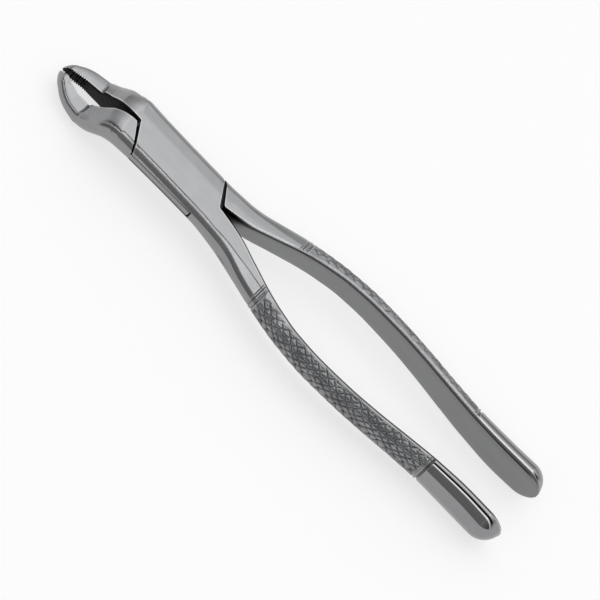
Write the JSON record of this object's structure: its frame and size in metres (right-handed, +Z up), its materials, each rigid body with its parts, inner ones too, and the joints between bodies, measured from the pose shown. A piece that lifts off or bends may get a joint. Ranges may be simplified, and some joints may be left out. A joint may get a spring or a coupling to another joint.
{
  "type": "extraction forceps",
  "caption": "Steel dental extraction forceps: a pair of levers crossing in a flush box joint, with down-curved serrated beaks and bowed, cross-hatched handles.",
  "frame": {"origin": "under the middle of the object's box, on the table that the forceps lie on", "axes": "+X from the beaks to the handle ends, +Y the way the tongue lever's handle opens, +Z up, within half a degree of the pivot's axis"},
  "size_m": [0.178, 0.0336, 0.0159],
  "materials": {
    "lever_steel": "satin stainless steel, polished at the handle ends and beaks",
    "rivet_steel": "satin stainless steel, ground flush with the joint"
  },
  "bodies": {
    "box_lever_body": {"box_lever": "lever_steel", "pivot_rivet": "rivet_steel"},
    "tongue_lever_body": {"tongue_lever": "lever_steel"}
  },
  "joints": [
    {"name": "box_joint", "type": "hinge", "parent": "box_lever_body", "child": "tongue_lever_body", "pos_m": [-0.04667, 0, 0.01075], "axis": [0.0087, 0, 1], "range_deg": [-1.5, 35]}
  ]
}
